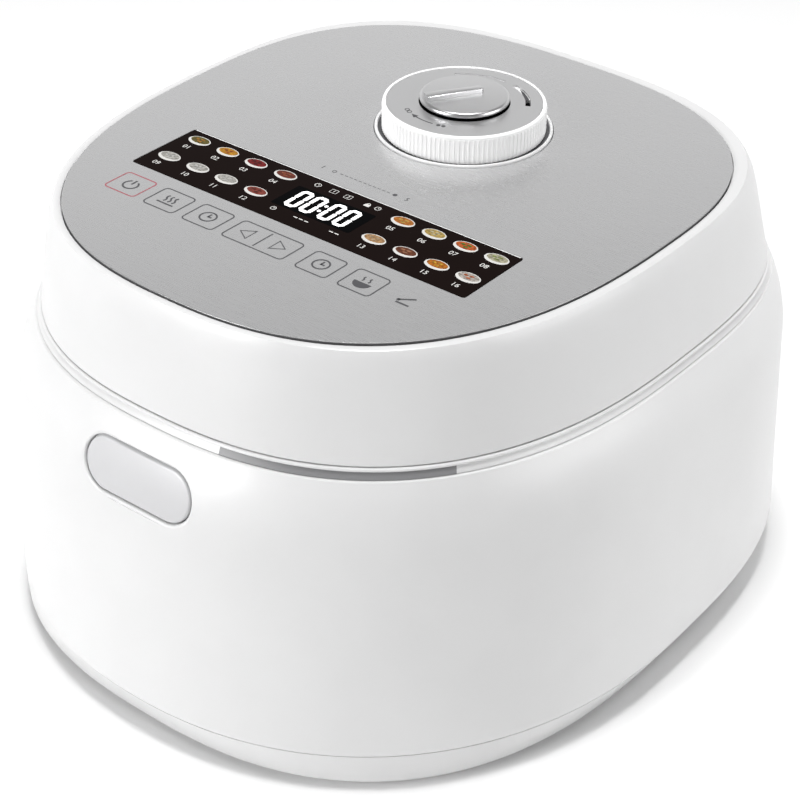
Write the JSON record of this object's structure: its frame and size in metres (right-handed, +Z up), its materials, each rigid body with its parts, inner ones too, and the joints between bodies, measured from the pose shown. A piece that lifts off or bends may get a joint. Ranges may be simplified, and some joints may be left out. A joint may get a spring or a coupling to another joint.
{
  "type": "rice cooker",
  "caption": "White pressure rice cooker with a hinged lid, a brushed silver top panel, a dark display strip, touch keys and a round steam cap.",
  "frame": {"origin": "on the ground, in the middle of the part's outline", "axes": "+Z up, the front with the release button faces -Y, +X to the right seen from above with the front below"},
  "size_m": [0.2998, 0.3329, 0.2063],
  "materials": {
    "outer_shell": "satin gloss",
    "rim_ring": "satin",
    "rim_insert": "satin",
    "base_cover": "satin",
    "feet": "matt",
    "base_screws": "plain",
    "inner_pot": "dark non-stick coating",
    "pot_liner": "matt",
    "induction_coil": "enamelled copper wire",
    "ferrite_bars": "dark ceramic",
    "coil_tray": "matt",
    "keep_warm_belt": "foil",
    "thermal_sensor": "satin",
    "sensor_spring": "plain",
    "power_board": "solder resist",
    "board_parts": "plain",
    "heat_sink": "plain",
    "fan_frame": "satin",
    "fan_rotor": "satin",
    "inlet_housing": "satin",
    "inlet_pins": "plain",
    "hinge_bracket": "satin",
    "hinge_pin": "ground",
    "hinge_spring": "plain",
    "release_button": "satin",
    "button_springs": "plain",
    "button_guide": "plain",
    "latch_lever": "plain",
    "latch_pin": "ground",
    "lid_shell": "satin gloss",
    "lid_liner": "satin",
    "lid_frame": "plain",
    "lid_screws": "plain",
    "striker": "plain",
    "top_panel": "fine brushed",
    "display_window": "polished",
    "lcd_module": "polished",
    "control_board": "solder resist",
    "touch_springs": "plain",
    "cap_bezel": "satin gloss",
    "valve_housing": "satin",
    "valve_seat": "plain",
    "valve_ball": "polished",
    "solenoid": "wound copper and steel",
    "plunger": "ground",
    "float_valve": "plain",
    "lid_sensor": "plain",
    "inner_lid": "satin",
    "lid_gasket": "silicone",
    "steam_ring": "satin",
    "ring_face": "silver lacquer",
    "turn_disc": "satin chrome"
  },
  "bodies": {
    "cooker_body": {"outer_shell": "outer_shell", "rim_ring": "rim_ring", "rim_insert": "rim_insert", "base_cover": "base_cover", "feet": "feet", "base_screws": "base_screws", "inner_pot": "inner_pot", "pot_liner": "pot_liner", "induction_coil": "induction_coil", "ferrite_bars": "ferrite_bars", "coil_tray": "coil_tray", "keep_warm_belt": "keep_warm_belt", "power_board": "power_board", "board_parts": "board_parts", "heat_sink": "heat_sink", "fan_frame": "fan_frame", "inlet_housing": "inlet_housing", "inlet_pins": "inlet_pins", "hinge_bracket": "hinge_bracket", "hinge_pin": "hinge_pin", "hinge_spring": "hinge_spring", "button_springs": "button_springs", "button_guide": "button_guide", "latch_pin": "latch_pin", "sensor_spring": "sensor_spring"},
    "lid": {"lid_shell": "lid_shell", "lid_liner": "lid_liner", "lid_frame": "lid_frame", "lid_screws": "lid_screws", "striker": "striker", "top_panel": "top_panel", "display_window": "display_window", "lcd_module": "lcd_module", "control_board": "control_board", "touch_springs": "touch_springs", "cap_bezel": "cap_bezel", "valve_housing": "valve_housing", "valve_seat": "valve_seat", "valve_ball": "valve_ball", "solenoid": "solenoid", "lid_sensor": "lid_sensor", "inner_lid": "inner_lid", "lid_gasket": "lid_gasket"},
    "steam_cap": {"steam_ring": "steam_ring", "ring_face": "ring_face"},
    "turn_disc_body": {"turn_disc": "turn_disc"},
    "button_body": {"release_button": "release_button"},
    "latch_body": {"latch_lever": "latch_lever"},
    "fan_body": {"fan_rotor": "fan_rotor"},
    "plunger_body": {"plunger": "plunger"},
    "float_body": {"float_valve": "float_valve"},
    "sensor_body": {"thermal_sensor": "thermal_sensor"}
  },
  "joints": [
    {"name": "lid_hinge", "type": "hinge", "parent": "cooker_body", "child": "lid", "pos_m": [0, 0.149, 0.137], "axis": [-1, 0, 0], "range_deg": [0, 85]},
    {"name": "steam_cap_turn", "type": "hinge", "parent": "lid", "child": "steam_cap", "pos_m": [0, 0.0448, 0.1896], "axis": [0, 0, 1], "range_deg": [0, 45]},
    {"name": "disc_turn", "type": "hinge", "parent": "steam_cap", "child": "turn_disc_body", "pos_m": [0, 0.0448, 0.2008], "axis": [0, 0, 1], "range_deg": [0, 90]},
    {"name": "button_slide", "type": "slide", "parent": "cooker_body", "child": "button_body", "axis": [0, 1, 0], "range_m": [0, 0.0035], "stiffness_N_per_m": 600, "deforming": ["button_springs"]},
    {"name": "latch_turn", "type": "hinge", "parent": "cooker_body", "child": "latch_body", "pos_m": [0, -0.1442, 0.1245], "axis": [1, 0, 0], "range_deg": [0, 19.7]},
    {"name": "fan_spin", "type": "hinge", "parent": "cooker_body", "child": "fan_body", "pos_m": [-0.06, 0.09896, 0.0066], "axis": [0, 0, 1], "continuous": true},
    {"name": "plunger_slide", "type": "slide", "parent": "lid", "child": "plunger_body", "axis": [-1, 0, 0], "range_m": [0, 0.0035], "stiffness_N_per_m": 200},
    {"name": "float_lift", "type": "slide", "parent": "lid", "child": "float_body", "axis": [0, 0, 1], "range_m": [0, 0.0025]},
    {"name": "sensor_press", "type": "slide", "parent": "cooker_body", "child": "sensor_body", "axis": [0, 0, -1], "range_m": [0, 0.002], "stiffness_N_per_m": 800, "deforming": ["sensor_spring"]}
  ],
  "couplings": [
    {"joint": "latch_turn", "follows": "button_slide", "rad_per_m": 88.02}
  ]
}
